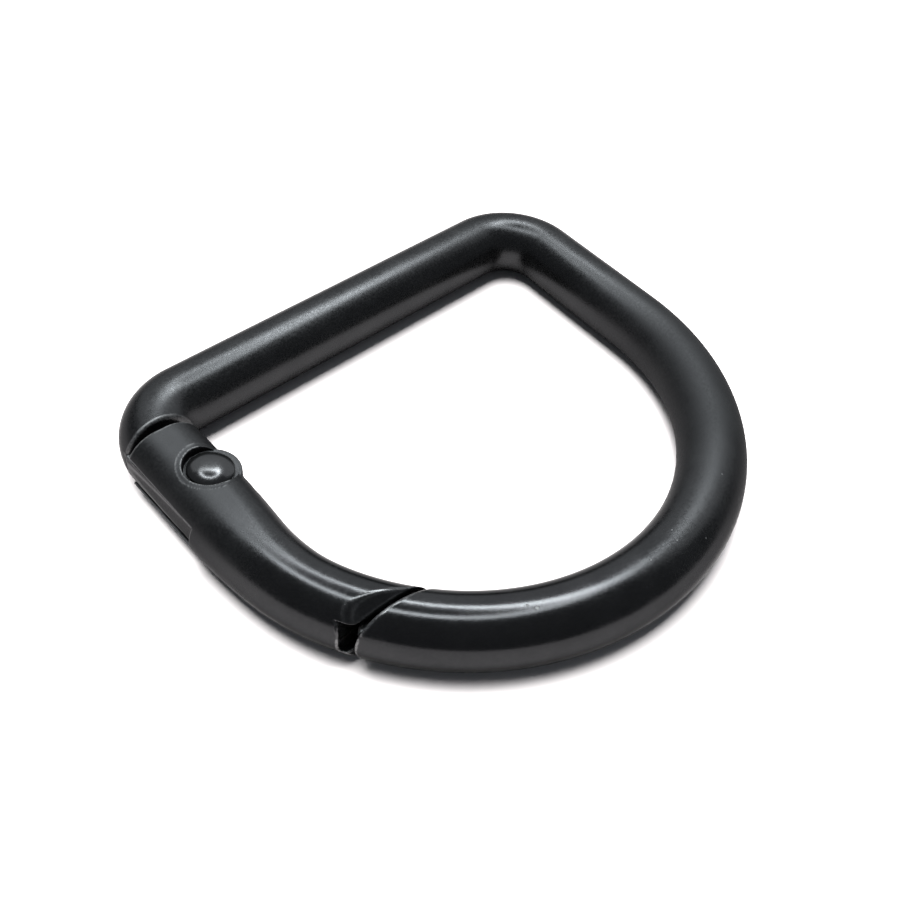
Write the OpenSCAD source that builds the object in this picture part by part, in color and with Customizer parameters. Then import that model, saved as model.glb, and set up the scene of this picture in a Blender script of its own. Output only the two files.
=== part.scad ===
// D-shaped snap hook for a narrow strap.
// The hook lies flat: the strap bar is toward +Y, the sprung gate is on the -X side.

/* [Wire] */
// Diameter of the round section that the whole hook is cast in
wire_d = 3.8; // [3.6:0.1:4.2]

/* [Outline] */
// Centreline radius of the bow opposite the strap bar
bow_r = 14.5; // [14:0.1:16]
// Centreline radius of the curved side that the gate closes
side_r = 12.25; // [11.5:0.05:13]
// Angle about the bow's centre at which the bow runs over into the gate side
side_from = 204; // [200:1:206]
// Distance from the bow's centre to the centreline of the strap bar
bar_y = 10.3; // [10:0.1:12]
// Centreline radius of the two corners at the strap bar
corner_r = 3.2; // [3:0.1:3.4]
// Lean of the free leg, outward toward the bar
free_lean = 5.4; // [4:0.2:7]
// Lean of the hinge leg, inward toward the bar
hinge_lean = 2.6; // [1:0.2:4]

/* [Hinge] */
// Distance of the rivet above the foot of the hinge leg
rivet_up = 4.3; // [4.2:0.1:4.5]
// Distance of the rivet inward from the centreline of the hinge leg
rivet_in = 0.8; // [0.7:0.05:0.9]
// Diameter of the rivet's shank
rivet_d = 1.4; // [1.2:0.1:1.6]
// Diameter of the two domed heads
head_d = 2.46; // [2.1:0.02:2.5]
// Height of the dome of a head
head_dome = 0.36; // [0.25:0.01:0.38]
// Diameter of the recess that each head sits in
recess_d = 2.82; // [2.7:0.02:2.84]
// Depth of each recess below the top of the wire
recess_deep = 0.55; // [0.5:0.05:0.7]
// Diameter of the round boss on the fork
boss_d = 3.16; // [2.86:0.02:3.2]
// Distance from the rivet to the end of the fork
fork_reach = 3.6; // [3.4:0.1:3.7]
// Distance from the rivet to the bottom of the fork's slot
slot_reach = 2.24; // [2.1:0.02:2.4]
// Height of the fork's slot
slot_h = 1.74; // [1.6:0.02:1.8]
// Thickness of the tongue that the fork straddles
tongue_h = 1.36; // [1.2:0.02:1.4]
// Open gap between the end of the fork and the shoulder of the ring
shoulder_gap = 0.6; // [0.4:0.05:0.7]
// How far the fork is thicker than the wire on its inner side
fork_inner = 0.42; // [0.3:0.02:0.5]
// How far the fork is thicker than the wire on its outer side
fork_outer = 0.18; // [0.1:0.02:0.2]

/* [Nose] */
// Angle about the bow's centre of the ring's nose
nose_at = 215; // [213:0.5:217]
// Direction that the flat of the ring's nose faces
nose_face = 84.5; // [82:0.5:88]
// Gap between the ring's nose and the nearest part of the gate
nose_gap = 0.3; // [0.25:0.05:0.35]
// Depth of the scoop in the end of the gate, at the top
notch_deep = 0.5; // [0.4:0.02:0.6]
// How far the scoop leans back from upright
scoop_lean = 56; // [50:1:60]
// Height of the lip left under the pocket for the catch
lip_h = 1.22; // [1.1:0.02:1.3]
// How far the catch stands out of the ring's nose
catch_reach = 0.7; // [0.5:0.05:0.75]
// Height of the catch
catch_h = 1.36; // [1.2:0.02:1.4]

/* [Hidden] */
$fn = 96;

coat = [0.09, 0.095, 0.1];
coat_head = [0.13, 0.135, 0.14];

wire_r = wire_d / 2;
rivet_play = 0.05;     // running fit in the fork
rivet_fit = 0.02;      // fit in the tongue
head_gap = 0.06;       // between a head and the floor of its recess
head_rim = 0.1;        // straight edge of a head under its dome
stop_gap = 0.1;        // between the tongue's end and the bottom of the slot
past = 0.5;            // overrun of the cutters
lap = 0.1;             // how far a rod runs into the bend at its end
slim = 0.01;           // how much less a rod's radius is than a bend's, for a clean seam
reach = 4;             // half width of the cutters at the nose and the fork

function polar(r, a) = [r * cos(a), r * sin(a)];
function across(v) = [v[1], -v[0]];

// Legs, each from its foot on a bend up to the height of the bar
free_foot = polar(bow_r, -free_lean);
free_way = polar(1, 90 - free_lean);
free_top = free_foot + free_way * (bar_y - free_foot[1]) / free_way[1];
side_c = polar(bow_r - side_r, side_from);
hinge_foot = side_c + polar(side_r, 180 - hinge_lean);
hinge_way = polar(1, 90 - hinge_lean);
hinge_top = hinge_foot + hinge_way * (bar_y - hinge_foot[1]) / hinge_way[1];

// Corners, each with the length that its bend takes off the bar and off the leg
free_cut = corner_r / tan((90 - free_lean) / 2);
hinge_cut = corner_r / tan((90 + hinge_lean) / 2);
free_corner = [free_top[0] - free_cut, bar_y - corner_r];
hinge_corner = [hinge_top[0] + hinge_cut, bar_y - corner_r];

rivet_at = hinge_foot + hinge_way * rivet_up + across(hinge_way) * rivet_in;
slot_z = wire_r - slot_h / 2;
tongue_z = wire_r - tongue_h / 2;
recess_z = wire_d - recess_deep;
catch_z = lip_h + 0.2;
shoulder_r = 12.6;     // the shoulder's face is slightly hollow

// The fork is thickened by two slimmer rods beside the leg. Below it each runs on in a wide
// bend until it sinks into the side.
beside_r = wire_r - 0.12;
beside_cut = wire_r - beside_r;
inner_bend = 23.5;
inner_foot = fork_inner - 0.045;       // how far the inner rod is inward at the leg's foot
inner_c = hinge_foot + across(hinge_way) * (inner_foot + inner_bend);
inner_turn = 7.4;                      // how far the inner rod bends before it turns straight
inner_from = rivet_up - (inner_bend - beside_r) * sin(inner_turn);
outer_bend = 22;
outer_from = 2.4;                      // where the outer rod turns straight, below the rivet
outer_c = hinge_foot + hinge_way * (rivet_up - outer_from)
    + across(hinge_way) * (outer_bend - fork_outer - beside_cut);

// Outline of the whole hook, for the middle of its footprint
x_min = outer_c[0] - outer_bend - beside_r;
x_max = free_corner[0] + corner_r + wire_r;
y_min = -bow_r - wire_r;
y_max = bar_y + wire_r;

// Straight round rod in the middle plane of the wire, running a little way into what is at its ends
module rod(from, to, r = wire_r) {
    run = to - from;
    translate([from[0], from[1], wire_r])
        rotate([0, 90, atan2(run[1], run[0])])
            translate([0, 0, -lap])
                cylinder(h = norm(run) + 2 * lap, r = r - slim);
}

// Round rod bent about a centre in the middle plane of the wire
module bent(centre, bend_r, from, to, r = wire_r) {
    translate([centre[0], centre[1], wire_r])
        rotate([0, 0, from])
            rotate_extrude(angle = to - from)
                translate([bend_r, 0])
                    circle(r = r);
}

// Footprint centred on the origin
module centred() {
    translate([-(x_min + x_max) / 2, -(y_min + y_max) / 2, 0])
        children();
}

// Frame on the rivet: +Y runs up the leg toward the bar, +X points inward
module on_rivet() {
    translate([rivet_at[0], rivet_at[1], 0])
        rotate([0, 0, -hinge_lean])
            children();
}

// Frame on the ring's nose: +Y points out of the nose, -X points to the inside of the hook
module on_nose() {
    translate(concat(polar(bow_r, nose_at), 0))
        rotate([0, 0, nose_face - 90])
            mirror([1, 0, 0])
                children();
}

// Both faces of the hook get the same feature
module both_faces() {
    children();
    translate([0, 0, wire_d])
        mirror([0, 0, 1])
            children();
}

// Round column that ends where the shoulder begins
module shoulder_column() {
    translate([0, fork_reach + shoulder_gap - shoulder_r, -past])
        cylinder(h = wire_d + 2 * past, r = shoulder_r, $fn = 240);
}

// Corner over the hinge, with a straight piece of the leg below it
module hinge_corner_rod() {
    bent(hinge_corner, corner_r, 90, 180 - hinge_lean);
    rod(hinge_top - hinge_way * hinge_cut, hinge_foot);
}

// Flat tongue, seen from above, on the rivet's frame
module tongue_outline() {
    outer = -rivet_in - wire_r;
    low = stop_gap - slot_reach;
    //       x             y
    polygon([
        [outer + 0.08,     fork_reach + 0.3],
        [outer + 0.2,      low],
        [0.2,              low],
        [rivet_d,          -0.4],
        [rivet_d,          fork_reach],
        [0.8,              fork_reach + 1.1],
        [outer + 0.35,     fork_reach + 1.1]
    ]);
}

// The one-piece casting: strap bar, corners, free leg, bow and the two ends that meet the gate
module ring() {
    color(coat)
        centred() {
            rod([hinge_corner[0], bar_y], [free_corner[0], bar_y]);
            bent(free_corner, corner_r, -free_lean, 90);
            rod(free_top - free_way * free_cut, free_foot);
            difference() {
                bent([0, 0], bow_r, nose_at - 9, 360 - free_lean);
                on_nose()
                    nose_relief();
            }
            difference() {
                hinge_corner_rod();
                on_rivet()
                    shoulder_column();
            }
            tongue();
        }
}

// Tongue between the two sides of the fork, bored for the rivet
module tongue() {
    difference() {
        intersection() {
            rod(hinge_foot, hinge_top);
            on_rivet()
                translate([0, 0, tongue_z])
                    linear_extrude(tongue_h)
                        tongue_outline();
        }
        on_rivet()
            translate([0, 0, -past])
                cylinder(h = wire_d + 2 * past, r = rivet_d / 2 + rivet_fit);
    }
}

// What is cut off beyond the ring's nose, all but a short catch with a rounded front
module nose_relief() {
    catch_r = 1.4;
    catch_x = 0.85;
    difference() {
        translate([-reach, 0, -past])
            cube([2 * reach, reach, wire_d + 2 * past]);
        translate([catch_x, catch_reach - catch_r, catch_z])
            cylinder(h = catch_h, r = catch_r);
    }
}

// The curved sprung arm
module gate() {
    color(coat)
        centred()
            difference() {
                gate_blank();
                fork_cuts();
                nose_cuts();
            }
}

// Arm before it is cut: rod, thicker fork and boss
module gate_blank() {
    bent([0, 0], bow_r, side_from - 0.2, nose_at + 9, wire_r - slim);
    bent(side_c, side_r, 180 - hinge_lean, side_from);
    bent(inner_c, inner_bend, 180 - inner_turn - hinge_lean, 189 - hinge_lean, beside_r);
    bent(outer_c, outer_bend, 180 - hinge_lean, 190 - hinge_lean, beside_r);
    fork_rod(0, rivet_up, wire_r);
    fork_rod(fork_inner + beside_cut, inner_from, beside_r);
    fork_rod(-fork_outer - beside_cut, outer_from, beside_r);
    on_rivet()
        both_faces()
            translate([0, 0, recess_z - wire_r])
                boss_half();
}

// Straight rod of the fork, from below the rivet up to the fork's flat end
module fork_rod(beside, below, r) {
    from = rivet_at - across(hinge_way) * (rivet_in - beside) - hinge_way * below;
    intersection() {
        rod(from, from + hinge_way * (below + fork_reach + past), r);
        on_rivet()
            translate([-reach, -rivet_up - past, -past])
                cube([2 * reach, rivet_up + past + fork_reach, wire_d + 2 * past]);
    }
}

// Upper half of the boss, with a small bevel round its flat top
module boss_half() {
    bevel = 0.12;
    cylinder(h = wire_r - bevel, r = boss_d / 2);
    translate([0, 0, wire_r - bevel])
        cylinder(h = bevel, r1 = boss_d / 2, r2 = boss_d / 2 - bevel);
}

// Slot, bore and recesses of the fork
module fork_cuts() {
    on_rivet() {
        translate([-reach, -slot_reach, slot_z])
            cube([2 * reach, slot_reach + fork_reach + past, slot_h]);
        translate([0, 0, -past])
            cylinder(h = wire_d + 2 * past, r = rivet_d / 2 + rivet_play);
        both_faces()
            translate([0, 0, recess_z])
                cylinder(h = recess_deep + past, r = recess_d / 2);
    }
}

// End of the gate: a flat, a scoop that leans back above it and a pocket for the catch
module nose_cuts() {
    on_nose() {
        translate([-reach, -reach, -past])
            cube([2 * reach, reach + nose_gap, wire_d + 2 * past]);
        translate([0, 0, wire_d])
            rotate([-scoop_lean, 0, 0])
                linear_extrude(2 * reach, center = true)
                    scoop_outline();
        translate([0, 0, lip_h])
            linear_extrude(slot_h + 0.1)
                polygon([
                    [-0.25, 0],
                    [-0.25, catch_reach + 0.5],
                    [reach, catch_reach - 0.15],
                    [reach, 0]
                ]);
    }
}

// Scoop, seen along its own leaning direction: it deepens towards the outside of the hook
module scoop_outline() {
    scoop_x = 0.75;
    scoop_rise = 0.48;
    low = (nose_gap + notch_deep) * cos(scoop_lean);
    polygon([
        [-reach,  low],
        [scoop_x, low],
        [reach,   low + (reach - scoop_x) * cos(scoop_lean) * scoop_rise],
        [reach,   -reach],
        [-reach,  -reach]
    ]);
}

// Hinge rivet: shank and two domed heads
module rivet() {
    color(coat_head)
        centred()
            on_rivet() {
                translate([0, 0, wire_d - recess_z - head_gap - head_rim / 2])
                    cylinder(h = 2 * (recess_z + head_gap) - wire_d + head_rim, r = rivet_d / 2);
                both_faces()
                    translate([0, 0, recess_z + head_gap])
                        rivet_head();
            }
}

// Head with a short straight rim and a low dome, on the end of the shank
module rivet_head() {
    head_r = head_d / 2;
    dome_r = (head_r * head_r + head_dome * head_dome) / (2 * head_dome);
    intersection() {
        translate([0, 0, head_rim + head_dome - dome_r])
            sphere(r = dome_r);
        cylinder(h = head_dome + 2 * head_rim, r = head_r);
    }
}

ring();
gate();
rivet();
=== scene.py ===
import math
import bmesh
import bpy
import numpy as np
from mathutils import Matrix, Vector


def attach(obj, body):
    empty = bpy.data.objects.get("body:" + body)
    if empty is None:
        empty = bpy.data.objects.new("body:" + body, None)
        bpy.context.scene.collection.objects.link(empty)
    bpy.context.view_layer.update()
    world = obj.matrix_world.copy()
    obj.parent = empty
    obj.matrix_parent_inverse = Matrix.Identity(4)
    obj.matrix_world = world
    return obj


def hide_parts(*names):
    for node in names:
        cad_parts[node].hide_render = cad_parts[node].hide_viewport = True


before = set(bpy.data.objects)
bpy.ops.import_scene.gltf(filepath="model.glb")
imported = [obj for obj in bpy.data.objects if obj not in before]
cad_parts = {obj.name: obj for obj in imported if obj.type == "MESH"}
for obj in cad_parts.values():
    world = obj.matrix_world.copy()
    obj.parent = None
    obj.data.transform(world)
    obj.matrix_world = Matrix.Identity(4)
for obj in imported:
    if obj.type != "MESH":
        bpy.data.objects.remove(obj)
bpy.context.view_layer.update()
mm = 0.001
print("frame loaded")

# The hook's lengths are millimetres and all angles degrees. The origin lies on the floor, under the
# middle of the hook's footprint: the strap bar is toward +Y and the gate on the -X side.
wire = {
    "radius": 1.9,
    "bowRadius": 14.5,
    "sideRadius": 12.25,
    "sideFrom": 204.0,
    "barY": 10.3,
    "cornerRadius": 3.2,
    "freeLean": 5.4,
    "hingeLean": 2.6,
    "rivetUp": 4.3,
    "rivetIn": 0.8,
    "middle": (0.406253, -2.1),  # of the footprint, seen from the bow's centre
}


def polar(radius, degrees):
    a = math.radians(degrees)
    return np.array([radius * math.cos(a), radius * math.sin(a)])


def layOutWire(w):
    # ends, bends and directions of the wire's centreline, seen from above
    origin = -np.array(w["middle"])
    out = {"bow": origin}
    out["freeFoot"] = origin + polar(w["bowRadius"], -w["freeLean"])
    out["freeWay"] = polar(1, 90 - w["freeLean"])
    barY = w["barY"] + origin[1]
    out["barY"] = barY
    out["freeTop"] = out["freeFoot"] + out["freeWay"] * (barY - out["freeFoot"][1]) / out["freeWay"][1]
    out["side"] = origin + polar(w["bowRadius"] - w["sideRadius"], w["sideFrom"])
    out["hingeFoot"] = out["side"] + polar(w["sideRadius"], 180 - w["hingeLean"])
    out["hingeWay"] = polar(1, 90 - w["hingeLean"])
    out["hingeIn"] = polar(1, -w["hingeLean"])
    out["hingeTop"] = out["hingeFoot"] + out["hingeWay"] * (barY - out["hingeFoot"][1]) / out["hingeWay"][1]
    freeCut = w["cornerRadius"] / math.tan(math.radians((90 - w["freeLean"]) / 2))
    hingeCut = w["cornerRadius"] / math.tan(math.radians((90 + w["hingeLean"]) / 2))
    out["freeBend"] = np.array([out["freeTop"][0] - freeCut, barY - w["cornerRadius"]])
    out["hingeBend"] = np.array([out["hingeTop"][0] + hingeCut, barY - w["cornerRadius"]])
    out["freeLegTop"] = out["freeTop"] - out["freeWay"] * freeCut
    out["hingeLegTop"] = out["hingeTop"] - out["hingeWay"] * hingeCut
    out["rivet"] = out["hingeFoot"] + out["hingeWay"] * w["rivetUp"] + out["hingeIn"] * w["rivetIn"]
    return out


place = layOutWire(wire)

# The pieces are first written as signed distances: below zero inside, zero on the skin


def toLine(x, y, start, end):
    way = end - start
    t = ((x - start[0]) * way[0] + (y - start[1]) * way[1]) / (way @ way)
    t = np.clip(t, 0, 1)
    return np.hypot(x - start[0] - t * way[0], y - start[1] - t * way[1])


def toArc(x, y, centre, radius, fromDeg, toDeg):
    a = np.degrees(np.arctan2(y - centre[1], x - centre[0]))
    middle = (fromDeg + toDeg) / 2
    half = (toDeg - fromDeg) / 2
    off = (a - middle + 180) % 360 - 180
    on = np.abs(np.hypot(x - centre[0], y - centre[1]) - radius)
    ends = [centre + polar(radius, d) for d in (fromDeg, toDeg)]
    past = np.minimum(*[np.hypot(x - e[0], y - e[1]) for e in ends])
    return np.where(np.abs(off) <= half, on, past)


def tube(flat, z, radius):
    # round rod about a line in the wire's middle plane
    return np.hypot(flat, z - wire["radius"]) - radius


def both(a, b, rounding):
    # inside a and b, with the edge between them rounded off
    u = np.maximum(a + rounding, 0)
    v = np.maximum(b + rounding, 0)
    return np.minimum(np.maximum(a, b), -rounding) + np.hypot(u, v)


def either(a, b, rounding):
    # inside a or b, with the corner between them filled
    return -both(-a, -b, rounding)


def without(a, b, rounding):
    return both(a, -b, rounding)


def slab(z, low, high):
    return np.maximum(low - z, z - high)


def softRise(s, start, end, height, soft=0.5):
    # from 0 to the height between two stations, with soft bends at both ends
    up = s - start + np.hypot(s - start, soft)
    over = s - end + np.hypot(s - end, soft)
    return height * (up - over) / (2 * (end - start))


def softStep(t):
    t = np.clip(t, 0, 1)
    return t * t * (3 - 2 * t)


def prism(x, y, points):
    # upright walls round a closed outline
    pts = np.array(points, float)
    best = np.full(np.shape(x), np.inf)
    sign = np.ones(np.shape(x))
    for i in range(len(pts)):
        a = pts[i]
        b = pts[i - 1]
        ex, ey = b - a
        wx = x - a[0]
        wy = y - a[1]
        t = np.clip((wx * ex + wy * ey) / (ex * ex + ey * ey), 0, 1)
        best = np.minimum(best, (wx - t * ex) ** 2 + (wy - t * ey) ** 2)
        above = y >= a[1]
        below = y < b[1]
        left = ex * wy > ey * wx
        flip = (above & below & left) | (~above & ~below & ~left)
        sign = np.where(flip, -sign, sign)
    return sign * np.sqrt(best)


def onRivet(x, y):
    # along: up the leg from the rivet; inward: towards the inside of the hook
    dx = x - place["rivet"][0]
    dy = y - place["rivet"][1]
    inward = dx * place["hingeIn"][0] + dy * place["hingeIn"][1]
    along = dx * place["hingeWay"][0] + dy * place["hingeWay"][1]
    return inward, along


# Flat end of the ring with its catch, and what the gate's end has opposite it
nose = {
    "at": 215.0,
    "faces": 84.5,
    "catchSide": 0.85,
    "catchBack": 0.7,
    "catchRadius": 1.4,
    "catchLow": 1.42,
    "catchHigh": 2.78,
    "gap": 0.3,
    "lip": 1.22,
    "scoopX": 0.75,
    "scoopDeep": 0.5,
    "scoopRise": 0.48,
    "scoopLean": 56.0,
    "pocketTop": 3.06,
    "pocketWall": [(-0.25, 0), (-0.25, 1.2), (4, 0.55), (4, 0)],
    "wallLean": 0.36,
    "wallLeansFrom": 2.0,
    "wallBack": 0.13,
}


def onNose(x, y):
    # out: out of the ring's nose; side: towards the outside of the hook
    p = place["bow"] + polar(wire["bowRadius"], nose["at"])
    face = polar(1, nose["faces"])
    dx = x - p[0]
    dy = y - p[1]
    out = dx * face[0] + dy * face[1]
    side = -(dx * face[1] - dy * face[0])
    return side, out


# Forked end of the gate, the tongue that it straddles and the shoulder above both
fork = {
    "reach": 3.6,
    "shoulderGap": 0.6,
    "shoulderRadius": 12.6,
    "slotReach": 2.24,
    "slotHalf": 0.87,
    "tongueHalf": 0.68,
    "tongueGap": 0.1,
    "tongueIn": 1.4,
    "tongueTop": 4.7,
    "inner": 0.42,
    "innerRise": (-8.1, -1.5),
    "outer": 0.18,
    "outerRise": (-5.3, -3.3),
    "bossRadius": 1.58,
    "recessRadius": 1.41,
    "recessFloor": 3.25,
    "dentRadius": 1.72,
    "dentBlend": 0.11,
    "dentDeep": 0.012,
    "dentAbove": 0.9,  # of the wire's middle plane
    "dentRise": 4,
}


def shoulderColumn(inward, along):
    # upright cylinder that the shoulder is hollowed by
    radius = fork["shoulderRadius"]
    top = fork["reach"] + fork["shoulderGap"]
    return np.hypot(inward, along - top + radius) - radius


def tongueOutline():
    outer = -wire["rivetIn"] - wire["radius"]
    low = fork["tongueGap"] - fork["slotReach"]
    inner = fork["tongueIn"]
    top = fork["tongueTop"]
    return [(outer + 0.08, 3.9), (outer + 0.2, low), (0.2, low), (inner, -0.4),
            (inner, 3.6), (0.8, top), (outer + 0.35, top)]


ringEdges = {"shoulder": 0.2, "tongue": 0.07, "nose": 0.2, "catch": 0.14, "foot": 0.05}
ringFit = {"seam": 0.01, "catchInset": 0.03, "bowOverrun": 12, "noseWithin": -2}


def ringField(x, y, z):
    w = wire
    r = w["radius"]
    e = ringEdges
    n = nose
    inward, along = onRivet(x, y)
    side, out = onNose(x, y)
    bar = toLine(x, y, np.array([place["hingeBend"][0], place["barY"]]),
                 np.array([place["freeBend"][0], place["barY"]]))
    corner = toArc(x, y, place["freeBend"], w["cornerRadius"], -w["freeLean"], 90)
    leg = toLine(x, y, place["freeLegTop"], place["freeFoot"])
    bow = toArc(x, y, place["bow"], w["bowRadius"], n["at"] - ringFit["bowOverrun"], 360 - w["freeLean"])
    bend = toArc(x, y, place["hingeBend"], w["cornerRadius"], 90, 180 - w["hingeLean"])
    stub = toLine(x, y, place["hingeLegTop"], place["hingeFoot"])
    plain = tube(np.minimum(np.minimum(bar, corner), leg), z, r)
    bowRod = tube(bow, z, r)
    # nose cut off flat, with a short rounded catch standing out of it
    past = np.minimum(out, ringFit["noseWithin"] - x)
    noseRod = both(bowRod, past, e["nose"])
    catch = np.hypot(side - n["catchSide"], out + n["catchBack"]) - n["catchRadius"]
    catch = both(catch, slab(z, n["catchLow"], n["catchHigh"]), e["catch"])
    catch = both(catch, bowRod + ringFit["catchInset"], e["catch"])
    noseEnd = either(noseRod, catch, e["foot"])
    # shoulder over the fork, hollowed to clear the fork's end
    shoulder = tube(np.minimum(bend, stub), z, r)
    shoulder = without(shoulder, shoulderColumn(inward, along), e["shoulder"])
    rod = tube(toLine(x, y, place["hingeFoot"], place["hingeTop"]), z, r - ringFit["seam"])
    flat = slab(z, r - fork["tongueHalf"], r + fork["tongueHalf"])
    tongue = both(prism(inward, along, tongueOutline()), flat, e["tongue"])
    tongue = both(tongue, rod, e["tongue"])
    hinge = either(shoulder, tongue, e["foot"])
    return np.minimum(np.minimum(plain, noseEnd), hinge)


gateEdges = {"end": 0.13, "slot": 0.12, "boss": 0.1, "bossFoot": 0.06, "recess": 0.04,
             "nose": 0.06, "scoop": 0.1, "ridge": 0.3, "pocket": 0.07}


def gateRod(x, y, z):
    # round rod along the bow and the side, widened in the plane of the hook towards the hinge
    w = wire
    inward, along = onRivet(x, y)
    turn = np.degrees(np.arctan2(y - place["side"][1], x - place["side"][0])) % 360 - (180 - w["hingeLean"])
    fromSide = w["sideRadius"] - np.hypot(x - place["side"][0], y - place["side"][1])
    fromBow = w["bowRadius"] - np.hypot(x - place["bow"][0], y - place["bow"][1])
    onLeg = turn <= 0
    onBow = turn > w["sideFrom"] - (180 - w["hingeLean"])
    off = np.where(onLeg, inward + w["rivetIn"], np.where(onBow, fromBow, fromSide))
    station = np.where(onLeg, along, -w["rivetUp"] - w["sideRadius"] * np.radians(turn))
    inner = softRise(station, *fork["innerRise"], fork["inner"])
    outer = softRise(station, *fork["outerRise"], fork["outer"])
    return tube(off - np.clip(off, -outer, inner), z, w["radius"])


def gateField(x, y, z):
    r = wire["radius"]
    e = gateEdges
    n = nose
    inward, along = onRivet(x, y)
    side, out = onNose(x, y)
    body = gateRod(x, y, z)
    # boss round the rivet, then the fork's end, slot and the recesses for the heads
    fromRivet = np.hypot(inward, along)
    high = np.abs(z - r)
    floorHigh = fork["recessFloor"] - r
    boss = both(fromRivet - fork["bossRadius"], high - floorHigh, e["boss"])
    body = either(body, boss, e["bossFoot"])
    # a shallow round dent surrounds each recess, and fades out down the fork's sides
    dent = softStep((fork["dentRadius"] - fromRivet) / fork["dentBlend"])
    body = body + fork["dentDeep"] * dent * np.clip((high - fork["dentAbove"]) * fork["dentRise"], 0, 1)
    body = both(body, along - fork["reach"], e["end"])
    slot = np.maximum(high - fork["slotHalf"], -fork["slotReach"] - along)
    body = without(body, slot, e["slot"])
    recess = np.maximum(fromRivet - fork["recessRadius"], floorHigh - high)
    body = without(body, recess, e["recess"])
    # nose: a flat, a scoop that leans back above it, and a pocket that clears the catch
    body = without(body, out - n["gap"], e["nose"])
    lean = math.radians(n["scoopLean"])
    back = (out + (2 * r - z) * math.tan(lean) - n["gap"] - n["scoopDeep"]) * math.cos(lean)
    across = (side - n["scoopX"]) * math.cos(lean)
    scoop = either(back, back - across * n["scoopRise"], e["ridge"])
    body = without(body, scoop, e["scoop"])
    # the pocket's wall leans back as it rises
    shift = n["wallLean"] * np.maximum(z - n["wallLeansFrom"], 0) ** 2 - n["wallBack"]
    pocket = prism(side, out - shift, n["pocketWall"])
    return without(body, np.maximum(pocket, slab(z, n["lip"], n["pocketTop"])), e["pocket"])


# Skin of a field: one point in each cell that the surface crosses, pulled onto the surface, and a quad
# round each crossed edge of the grid
skinning = {"slopeStep": 0.004, "pulls": 4, "longestPull": 0.05, "bendStep": 0.03, "bendUnit": 0.0009,
            "plainBend": 1.2, "sharpBend": 7.2}
cellCorners = [(i, j, k) for i in (0, 1) for j in (0, 1) for k in (0, 1)]


def slopeOf(field, p):
    h = skinning["slopeStep"]
    slope = np.empty_like(p)
    for c in range(3):
        up = p.copy()
        dn = p.copy()
        up[:, c] += h
        dn[:, c] -= h
        slope[:, c] = (field(*up.T) - field(*dn.T)) / (2 * h)
    return slope


def crossedCells(inside):
    nx, ny, nz = inside.shape
    count = np.zeros((nx - 1, ny - 1, nz - 1), np.int8)
    for i, j, k in cellCorners:
        count += inside[i:nx - 1 + i, j:ny - 1 + j, k:nz - 1 + k]
    return np.argwhere((count > 0) & (count < 8))


def pointInCell(grid, cells, axes):
    # middle of the places where the skin crosses the cell's edges
    values = [grid[cells[:, 0] + i, cells[:, 1] + j, cells[:, 2] + k] for i, j, k in cellCorners]
    values = np.stack(values, 1)
    total = np.zeros((len(cells), 3))
    hits = np.zeros(len(cells))
    for a in range(8):
        for b in range(a + 1, 8):
            step = np.array(cellCorners[b]) - np.array(cellCorners[a])
            if step.sum() != 1 or step.min() < 0:
                continue
            va = values[:, a]
            vb = values[:, b]
            crossed = (va < 0) != (vb < 0)
            t = np.where(crossed, va / np.where(crossed, va - vb, 1), 0)
            point = np.array(cellCorners[a])[None, :] + t[:, None] * step[None, :]
            total += np.where(crossed[:, None], point, 0)
            hits += crossed
    inCell = total / hits[:, None]
    places = np.empty_like(inCell)
    for c, axis in enumerate(axes):
        i = cells[:, c]
        places[:, c] = axis[i] + inCell[:, c] * (axis[i + 1] - axis[i])
    return places


def quadsRound(inside, number):
    quads = []
    for c in range(3):
        d, e = [(1, 2), (2, 0), (0, 1)][c]
        first = np.take(inside, range(inside.shape[c] - 1), c)
        second = np.take(inside, range(1, inside.shape[c]), c)
        at = np.argwhere(first != second)
        keep = (at[:, d] > 0) & (at[:, e] > 0) & (at[:, d] < number.shape[d]) & (at[:, e] < number.shape[e])
        at = at[keep]
        around = []
        for sd, se in ((1, 1), (0, 1), (0, 0), (1, 0)):
            cell = at.copy()
            cell[:, d] -= sd
            cell[:, e] -= se
            around.append(number[cell[:, 0], cell[:, 1], cell[:, 2]])
        quad = np.stack(around, 1)
        leaving = first[at[:, 0], at[:, 1], at[:, 2]]
        quads.append(np.where(leaving[:, None], quad, quad[:, ::-1]))
    return np.concatenate(quads)


def pulledOnto(field, places):
    s = skinning
    for _ in range(s["pulls"]):
        slope = slopeOf(field, places)
        size = np.maximum((slope * slope).sum(1), 0.25)
        move = (field(*places.T) / size)[:, None] * slope
        length = np.linalg.norm(move, axis=1, keepdims=True)
        places = places - move * np.minimum(1, s["longestPull"] / np.maximum(length, 1e-9))
    return places


def edgeOf(field, places):
    # how sharply the skin bends: 0 on the plain rod, 1 along the edges
    s = skinning
    bend = -6 * field(*places.T)
    for c in range(3):
        for d in (-s["bendStep"], s["bendStep"]):
            q = places.copy()
            q[:, c] += d
            bend += field(*q.T)
    return np.clip((bend / s["bendUnit"] - s["plainBend"]) / (s["sharpBend"] - s["plainBend"]), 0, 1)


def skin(field, axes):
    x, y, z = axes
    grid = field(x[:, None, None], y[None, :, None], z[None, None, :])
    grid = np.broadcast_to(grid, (len(x), len(y), len(z)))
    inside = grid < 0
    cells = crossedCells(inside)
    number = np.full(tuple(n - 1 for n in grid.shape), -1, np.int64)
    number[cells[:, 0], cells[:, 1], cells[:, 2]] = np.arange(len(cells))
    places = pulledOnto(field, pointInCell(grid, cells, axes))
    slope = slopeOf(field, places)
    normals = slope / np.maximum(np.linalg.norm(slope, axis=1, keepdims=True), 1e-9)
    return places, quadsRound(inside, number), normals, edgeOf(field, places)


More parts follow.
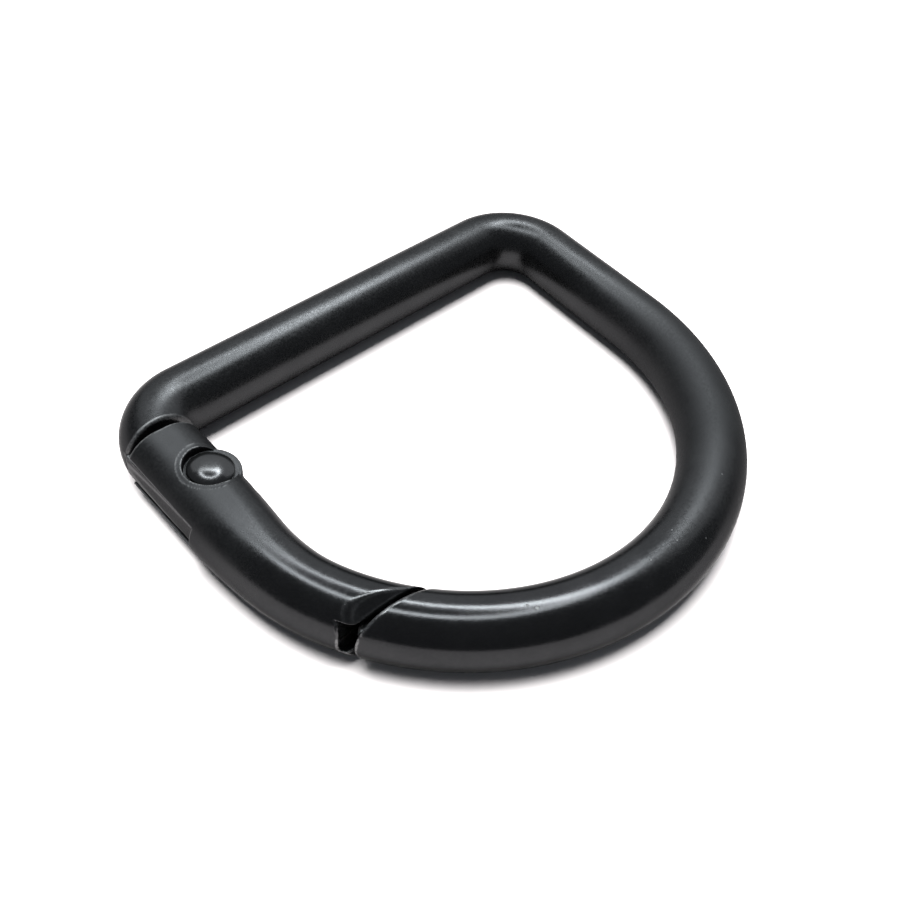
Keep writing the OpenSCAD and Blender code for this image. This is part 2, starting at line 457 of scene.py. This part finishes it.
def spaced(*runs):
    # runs of (start, end, step) that follow one another along an axis
    out = []
    for start, end, step in runs:
        n = max(1, round((end - start) / step))
        out.append(np.linspace(start, end, n + 1)[(1 if out else 0):])
    return np.concatenate(out)


def pieceFrom(name, places, quads, normals, edge):
    mesh = bpy.data.meshes.new(name)
    mesh.from_pydata((places * mm).tolist(), [], quads.tolist())
    mesh.polygons.foreach_set("use_smooth", [True] * len(mesh.polygons))
    mesh.update()
    mesh.normals_split_custom_set_from_vertices(normals.tolist())
    mesh.attributes.new("edge", "FLOAT", "POINT").data.foreach_set("value", edge.astype(np.float32))
    piece = bpy.data.objects.new(name, mesh)
    bpy.context.scene.collection.objects.link(piece)
    print(name, "has", len(mesh.polygons), "faces")
    return piece


# Steps of the grids: fine round the hinge and the nose, coarse along the plain wire
detail = {"fine": 0.072, "coarse": 0.22, "height": 0.09}


def ringAxes(d):
    return (spaced((-17.0, -9.2, d["fine"]), (-9.2, 17.0, d["coarse"])),
            spaced((-14.7, -7.0, d["coarse"]), (-7.0, 10.6, d["fine"]), (10.6, 14.7, d["coarse"])),
            spaced((-0.15, 3.95, d["height"])))


def gateAxes(d):
    return (spaced((-17.1, -9.4, d["fine"])),
            spaced((-7.0, 9.9, d["fine"])),
            spaced((-0.15, 3.95, d["fine"])))


# Painted shade on the gate's edges: their pale edge mark, partly wear and partly a painted highlight, is
# dimmed round the boss inside the hook and in the scoop, where shade falls
shadedEdges = {"bossWithin": 1.75, "bossInward": 0.2, "bossEdgeShare": 0.1,
             "scoopWithin": 3, "scoopAbove": 2.2, "scoopEdgeShare": 0.3}


# painted shade: cuts the pale edge mark down in the gate's shaded hollows
def gateEdgeShade(places, edge):
    s = shadedEdges
    atRivet = onRivet(places[:, 0], places[:, 1])
    atNose = onNose(places[:, 0], places[:, 1])
    edge[(np.hypot(*atRivet) < s["bossWithin"]) & (atRivet[0] > s["bossInward"])] *= s["bossEdgeShare"]
    edge[(np.hypot(*atNose) < s["scoopWithin"]) & (places[:, 2] > s["scoopAbove"])] *= s["scoopEdgeShare"]
    return edge


ringPiece = pieceFrom("ringCasting", *skin(ringField, ringAxes(detail)))
places, quads, normals, edge = skin(gateField, gateAxes(detail))
gatePiece = pieceFrom("gateArm", places, quads, normals, gateEdgeShade(places, edge))
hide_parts("ring")
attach(ringPiece, "ring")
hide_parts("gate")
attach(gatePiece, "gate")

# Rivet: both domed heads and the shank turned from one profile
rivetSize = {
    "shank": 0.7,
    "head": 1.23,
    "under": 3.31,  # height of the upper head's underside
    "rim": 0.08,
    "dome": 0.36,
    "power": 2.9,
    "turnDown": 0.072,  # width of the bend between dome and rim
    "foot": 0.04,  # rounding of the rim's lower edge
    "tilt": (-0.084, 0.004),
    "turns": 96,
    "domeSteps": 30,
    "rimSteps": 8,
    "footSteps": 6,
}


def rivetProfile(s):
    # radius and height above the wire's middle plane, from the top of the dome to the middle
    under = s["under"] - wire["radius"]
    last = s["head"] - s["turnDown"]
    points = []
    for i in range(s["domeSteps"] + 1):
        radius = last * i / s["domeSteps"]
        points.append((radius, under + s["rim"] + s["dome"] * (1 - (radius / s["head"]) ** s["power"])))
    # the rim turns down from the dome's slope to upright
    start = math.atan(s["dome"] * s["power"] / s["head"] * (last / s["head"]) ** (s["power"] - 1))
    k = s["turnDown"] / (1 - math.sin(start))
    top = points[-1][1]
    for i in range(1, s["rimSteps"] + 1):
        a = start + (math.pi / 2 - start) * i / s["rimSteps"]
        radius = last + k * (math.sin(a) - math.sin(start))
        points.append((radius, top - k * (math.cos(start) - math.cos(a))))
    for i in range(s["footSteps"] + 1):
        a = math.radians(90 * i / s["footSteps"])
        points.append((s["head"] - s["foot"] * (1 - math.cos(a)), under + s["foot"] * (1 - math.sin(a))))
    points.append((s["shank"], under))
    points.append((s["shank"], 0.0))
    return points


def leaning(s, x, y, h):
    # the peened domes lean a little; their undersides stay flat
    share = min(1.0, max(0.0, (abs(h) - s["under"] + wire["radius"]) / s["rim"]))
    lean = (x * s["tilt"][0] + y * s["tilt"][1]) * share
    return h + (lean if h > 0 else -lean)


def buildRivet(s):
    half = rivetProfile(s)
    whole = half + [(r, -h) for r, h in reversed(half[:-1])]
    bm = bmesh.new()
    rows = []
    for r, h in whole:
        if r < 1e-6:
            rows.append([bm.verts.new((0, 0, h * mm))])
            continue
        row = []
        for i in range(s["turns"]):
            x, y = polar(r, 360 * i / s["turns"])
            row.append(bm.verts.new((x * mm, y * mm, leaning(s, x, y, h) * mm)))
        rows.append(row)
    for upper, lower in zip(rows, rows[1:]):
        for i in range(s["turns"]):
            j = (i + 1) % s["turns"]
            if len(upper) == 1:
                bm.faces.new((upper[0], lower[i], lower[j]))
            elif len(lower) == 1:
                bm.faces.new((upper[i], lower[0], upper[j]))
            else:
                bm.faces.new((upper[i], lower[i], lower[j], upper[j]))
    bmesh.ops.recalc_face_normals(bm, faces=bm.faces)
    mesh = bpy.data.meshes.new("hingeRivet")
    bm.to_mesh(mesh)
    bm.free()
    mesh.polygons.foreach_set("use_smooth", [True] * len(mesh.polygons))
    mesh.transform(Matrix.Translation(Vector((*place["rivet"], wire["radius"])) * mm))
    piece = bpy.data.objects.new("hingeRivet", mesh)
    bpy.context.scene.collection.objects.link(piece)
    return piece


rivetPiece = buildRivet(rivetSize)
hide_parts("rivet")
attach(rivetPiece, "ring")
print("pieces built")


class Signal:
    # a node's output that can be used in sums and products
    def __init__(self, tree, socket):
        self.tree = tree
        self.socket = socket

    def maths(self, operation, a, b):
        node = self.tree.nodes.new("ShaderNodeMath")
        node.operation = operation
        for slot, value in zip(node.inputs, (a, b)):
            if isinstance(value, Signal):
                self.tree.links.new(value.socket, slot)
            else:
                slot.default_value = value
        return Signal(self.tree, node.outputs[0])

    def __add__(self, other):
        return self.maths("ADD", self, other)

    def __radd__(self, other):
        return self.maths("ADD", other, self)

    def __sub__(self, other):
        return self.maths("SUBTRACT", self, other)

    def __rsub__(self, other):
        return self.maths("SUBTRACT", other, self)

    def __mul__(self, other):
        return self.maths("MULTIPLY", self, other)

    def __rmul__(self, other):
        return self.maths("MULTIPLY", other, self)

    def atLeast(self, low):
        return self.maths("MAXIMUM", self, low)

    def clamped(self):
        return self.maths("MINIMUM", self, 1.0).atLeast(0.0)


class Finish:
    # a material with one Principled shader and a short way to add nodes
    def __init__(self, name):
        self.material = bpy.data.materials.new(name)
        self.material.use_nodes = True
        self.tree = self.material.node_tree
        self.shader = next(n for n in self.tree.nodes if n.type == "BSDF_PRINCIPLED")

    def node(self, kind, settings, sockets, out=0):
        node = self.tree.nodes.new(kind)
        for key, value in settings.items():
            setattr(node, key, value)
        for key, value in sockets.items():
            if isinstance(value, Signal):
                self.tree.links.new(value.socket, node.inputs[key])
            else:
                node.inputs[key].default_value = value
        return Signal(self.tree, node.outputs[out])

    def feed(self, socket, value):
        if isinstance(value, Signal):
            self.tree.links.new(value.socket, self.shader.inputs[socket])
        else:
            self.shader.inputs[socket].default_value = value

    def where(self, scale=1.0):
        # object coordinates in millimetres
        coord = self.node("ShaderNodeTexCoord", {}, {}, out=3)
        return self.node("ShaderNodeMapping", {}, {"Vector": coord, "Scale": (scale / mm,) * 3})

    def noise(self, at, scale, detail, roughness):
        return self.node("ShaderNodeTexNoise", {}, {
            "Vector": at, "Scale": scale, "Detail": detail, "Roughness": roughness})

    def mixed(self, share, first, second):
        return self.node("ShaderNodeMix", {"data_type": "RGBA"}, {0: share, 6: first, 7: second}, out=2)

    def awayFrom(self, at, spot):
        return self.node("ShaderNodeVectorMath", {"operation": "DISTANCE"}, {0: at, 1: spot}, out=1)


coatLook = {
    "dark": (0.0195, 0.0198, 0.0208, 1),
    "pale": (0.032, 0.0324, 0.0335, 1),
    # pale colour of the nicks and the worn edges; along the edges it is partly a painted highlight
    "wornAndSheen": (0.15, 0.15, 0.152, 1),
    "rim": (0.4, 0.4, 0.4, 1),
    "metallic": 0.85,
    "specular": 0.35,
    "glossy": 0.16,
    "glossyAt": (-10.5, -8.0, 1.9),  # the ends that meet, rubbed by opening the hook
    "matt": 0.29,
    "mattRise": (0.075, 0.3),
    "dull": 0.6,
    "dullAt": (12.0, -6.5, 1.9),
    "dullFade": (1.5, 0.12),
    "kneeAt": (-14.5, 5.5, 1.9),
    "kneeFade": (1.55, 0.22),
    "kneeShare": 0.6,
    "leastRough": 0.1,
    "roughSwing": 0.45,
    "cloudSwing": 0.16,
    "wornRough": 0.2,
    "nickRough": 0.3,
    "cloudScale": 0.45,
    "grainScale": 7.0,
    "fineScale": 22.0,
    "grain": 0.8,
    "grainHeight": 0.000006,  # metres
    "nickDepth": 2.0,
    "nickShare": 0.6,
    "marks": [  # x, y, z and size of the nicks
        (-7.70, -10.76, 3.77, 0.12), (-7.95, -10.38, 3.80, 0.07), (-1.49, -12.49, 3.79, 0.05),
        (5.86, -11.38, 3.76, 0.06), (0.81, -12.00, 3.77, 0.05), (0.47, -12.56, 3.79, 0.06),
        (1.97, -13.32, 3.45, 0.05), (5.90, -12.71, 2.92, 0.07), (4.72, 12.20, 3.79, 0.05)],
}


def allNicks(finish, at, fine, marks):
    nicks = None
    for x, y, z, size in marks:
        away = finish.awayFrom(at, (x, y, z))
        nick = ((size - away + (fine - 0.5) * size) * (3 / size)).clamped()
        nicks = nick if nicks is None else (nicks + nick).clamped()
    return nicks


def nearTo(finish, at, spot, fade):
    # 1 round the spot, falling to 0 away from it
    start, fall = fade
    return (start - finish.awayFrom(at, spot) * fall).clamped()


def coatRoughness(finish, at, look, cloud, grain):
    # glossy round the nose, matt away from it, dull on the far side of the bow and at the knee by the hinge
    rise, start = look["mattRise"]
    share = (finish.awayFrom(at, look["glossyAt"]) * rise - start).clamped()
    rough = look["glossy"] + share * (look["matt"] - look["glossy"])
    duller = look["dull"] - look["matt"]
    rough = rough + nearTo(finish, at, look["dullAt"], look["dullFade"]) * duller
    rough = rough + nearTo(finish, at, look["kneeAt"], look["kneeFade"]) * duller * look["kneeShare"]
    rough = rough + (grain - 0.5) * (share * 0.7 + 0.3) * look["roughSwing"]
    return rough + (cloud - 0.5) * look["cloudSwing"]


def paintCoat(name, look):
    finish = Finish(name)
    at = finish.where()
    cloud = finish.noise(at, look["cloudScale"], 4.0, 0.6)
    grain = finish.noise(at, look["grainScale"], 3.0, 0.7)
    fine = finish.noise(at, look["fineScale"], 2.0, 0.6)
    nicks = allNicks(finish, at, fine, look["marks"])
    # wear along the edges, broken up by the grain; along the edges its pale colour is partly a painted
    # highlight
    edge = finish.node("ShaderNodeAttribute", {"attribute_name": "edge"}, {}, out=2)
    wearAndSheen = (edge * (grain * 2.2 - 0.35).clamped()).clamped()
    mottle = ((cloud * 0.5 + grain * 0.5) * 2.4 - 0.7).clamped()
    colour = finish.mixed(mottle, look["dark"], look["pale"])
    colour = finish.mixed(wearAndSheen, colour, look["wornAndSheen"])
    colour = finish.mixed(nicks * look["nickShare"], colour, look["wornAndSheen"])
    rough = coatRoughness(finish, at, look, cloud, grain)
    rough = rough + nicks * look["nickRough"] + wearAndSheen * look["wornRough"]
    height = grain * 0.6 + fine * 0.4 - nicks * look["nickDepth"]
    bump = finish.node("ShaderNodeBump", {}, {
        "Strength": look["grain"], "Distance": look["grainHeight"], "Height": height})
    finish.feed("Base Color", colour)
    finish.feed("Roughness", rough.atLeast(look["leastRough"]).clamped())
    finish.feed("Normal", bump)
    finish.feed("Metallic", look["metallic"])
    finish.feed("Specular IOR Level", look["specular"])
    finish.feed("Specular Tint", look["rim"])
    return finish.material


# the rivet's heads are smoother and a little paler
headLook = dict(coatLook, glossy=0.15, matt=0.19, dull=0.19, roughSwing=0.1, grain=0.5,
                dark=(0.033, 0.0334, 0.0345, 1), pale=(0.045, 0.0454, 0.0465, 1))
blackCoat = paintCoat("blackCoat", coatLook)
rivetCoat = paintCoat("rivetCoat", headLook)
for piece in (ringPiece, gatePiece):
    piece.data.materials.append(blackCoat)
rivetPiece.data.materials.append(rivetCoat)
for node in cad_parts.values():
    node.data.materials.clear()
    node.data.materials.append(blackCoat)
print("finishes made")

# Camera: side and height in degrees as seen from the hook, distances in millimetres
shot = {
    "azimuth": -48.635,
    "elevation": 46.119,
    "distance": 58.245,
    "target": (-2.4797, 0.147, 1.9),
    "roll": 6.295,
    "pixelFocal": 1078.37,
    "pixelWidth": 900,
}


def turned(azimuth, elevation):
    a = math.radians(azimuth)
    e = math.radians(elevation)
    return Vector((math.sin(a) * math.cos(e), -math.cos(a) * math.cos(e), math.sin(e)))


def placeCamera(s):
    back = turned(s["azimuth"], s["elevation"])
    a = math.radians(s["azimuth"])
    right = Vector((math.cos(a), math.sin(a), 0))
    up = back.cross(right)
    roll = math.radians(s["roll"])
    across = right * math.cos(roll) + up * math.sin(roll)
    upright = -right * math.sin(roll) + up * math.cos(roll)
    spot = (Vector(s["target"]) + back * s["distance"]) * mm
    lens = bpy.data.cameras.new("camera")
    lens.sensor_width = 36
    lens.sensor_fit = "HORIZONTAL"
    lens.lens = s["pixelFocal"] / s["pixelWidth"] * lens.sensor_width
    lens.clip_start = 0.001
    camera = bpy.data.objects.new("camera", lens)
    turn = Matrix((across, upright, back)).transposed().to_4x4()
    camera.matrix_world = Matrix.Translation(spot) @ turn
    bpy.context.scene.collection.objects.link(camera)
    bpy.context.scene.camera = camera


placeCamera(shot)
bpy.context.scene.view_settings.view_transform = "Standard"

# Light: a ring light hangs nearly overhead and a wide pale wall stands behind, both for the hook alone.
# Sides are counted from the camera's. Distances and sizes from here on are metres.
ringLight = {
    "side": 192,
    "height": 71,
    "spread": 18.0,
    "band": 7.0,
    "distance": 0.5,
    "glow": 23.0,
    "levels": (0.9, 1.0, 1.0, 1.0, 0.8, 0.7, 1.0, 1.9, 1.7, 0.85, 0.5, 0.5),  # one for each panel
    "colour": (0.93, 0.985, 1.0),
}
wallLight = {
    "side": 180,
    "height": 36,
    "distance": 0.7,
    "size": (1.5, 0.85),
    "glow": 1.5,
    "colour": (0.95, 0.98, 1.0),
}
studio = {"colour": (0.85, 0.91, 1.0, 1), "strength": 0.19}


def groupOf(name, objects):
    group = bpy.data.collections.new(name)
    for one in objects:
        group.objects.link(one)
    return group


def placePanel(name, way, along, s, lights):
    # a flat lamp that looks at the origin and lights one group alone; the glow is its radiance
    lamp = bpy.data.lights.new(name, "AREA")
    lamp.shape = "RECTANGLE"
    lamp.size = s["size"][0]
    lamp.size_y = s["size"][1]
    lamp.color = s["colour"]
    lamp.energy = s["glow"] * math.pi * s["size"][0] * s["size"][1]
    holder = bpy.data.objects.new(name, lamp)
    across = along.normalized()
    turn = Matrix((across, way.cross(across), way)).transposed().to_4x4()
    holder.matrix_world = Matrix.Translation(way * s["distance"]) @ turn
    holder.light_linking.receiver_collection = lights
    bpy.context.scene.collection.objects.link(holder)


def placeLight(name, s, lights):
    way = turned(shot["azimuth"] + s["side"], s["height"])
    placePanel(name, way, Vector((0, 0, 1)).cross(way), s, lights)


def placeRingLight(s, lights):
    middle = turned(shot["azimuth"] + s["side"], s["height"])
    first = Vector((0, 0, 1)).cross(middle).normalized()
    second = middle.cross(first)
    spread = math.radians(s["spread"])
    count = len(s["levels"])
    # panels just long enough to meet their neighbours
    length = 2 * s["distance"] * math.sin(spread) * math.tan(math.pi / count)
    width = 2 * s["distance"] * math.tan(math.radians(s["band"] / 2))
    for i, level in enumerate(s["levels"]):
        a = 2 * math.pi * i / count
        out = first * math.cos(a) + second * math.sin(a)
        way = middle * math.cos(spread) + out * math.sin(spread)
        along = second * math.cos(a) - first * math.sin(a)
        panel = dict(s, size=(length, width), glow=s["glow"] * level)
        placePanel("ringLight%02d" % i, way, along, panel, lights)


hookOnly = groupOf("hookOnly", (ringPiece, gatePiece, rivetPiece))
placeRingLight(ringLight, hookOnly)
placeLight("wallLight", wallLight, hookOnly)
world = bpy.data.worlds.new("studio")
world.use_nodes = True
sky = world.node_tree.nodes["Background"]
sky.inputs["Color"].default_value = studio["colour"]
sky.inputs["Strength"].default_value = studio["strength"]
bpy.context.scene.world = world

# Floor, with a soft lamp of its own that hangs high up behind
floorLook = {
    "half": 1.5,
    "dark": (0.55, 0.54, 0.542, 1),
    "pale": (0.57, 0.56, 0.562, 1),
    "roughness": 0.7,
    "noiseScale": 0.02,
}
floorFill = {
    "side": 225,
    "height": 80,
    "distance": 0.6,
    "size": (0.46, 0.46),
    "glow": 26,
    "colour": (1.0, 0.98, 0.975),
}


def layFloor(s):
    finish = Finish("paleFloor")
    noise = finish.noise(finish.where(s["noiseScale"]), 1.0, 2.0, 0.5)
    finish.feed("Base Color", finish.mixed(noise, s["dark"], s["pale"]))
    finish.feed("Roughness", s["roughness"])
    h = s["half"]
    mesh = bpy.data.meshes.new("floor")
    mesh.from_pydata([(-h, -h, 0), (h, -h, 0), (h, h, 0), (-h, h, 0)], [], [(0, 1, 2, 3)])
    mesh.materials.append(finish.material)
    floor = bpy.data.objects.new("floor", mesh)
    bpy.context.scene.collection.objects.link(floor)
    return floor


floor = layFloor(floorLook)
floorOnly = groupOf("floorOnly", (floor,))
placeLight("floorFill", floorFill, floorOnly)
print("stage set")
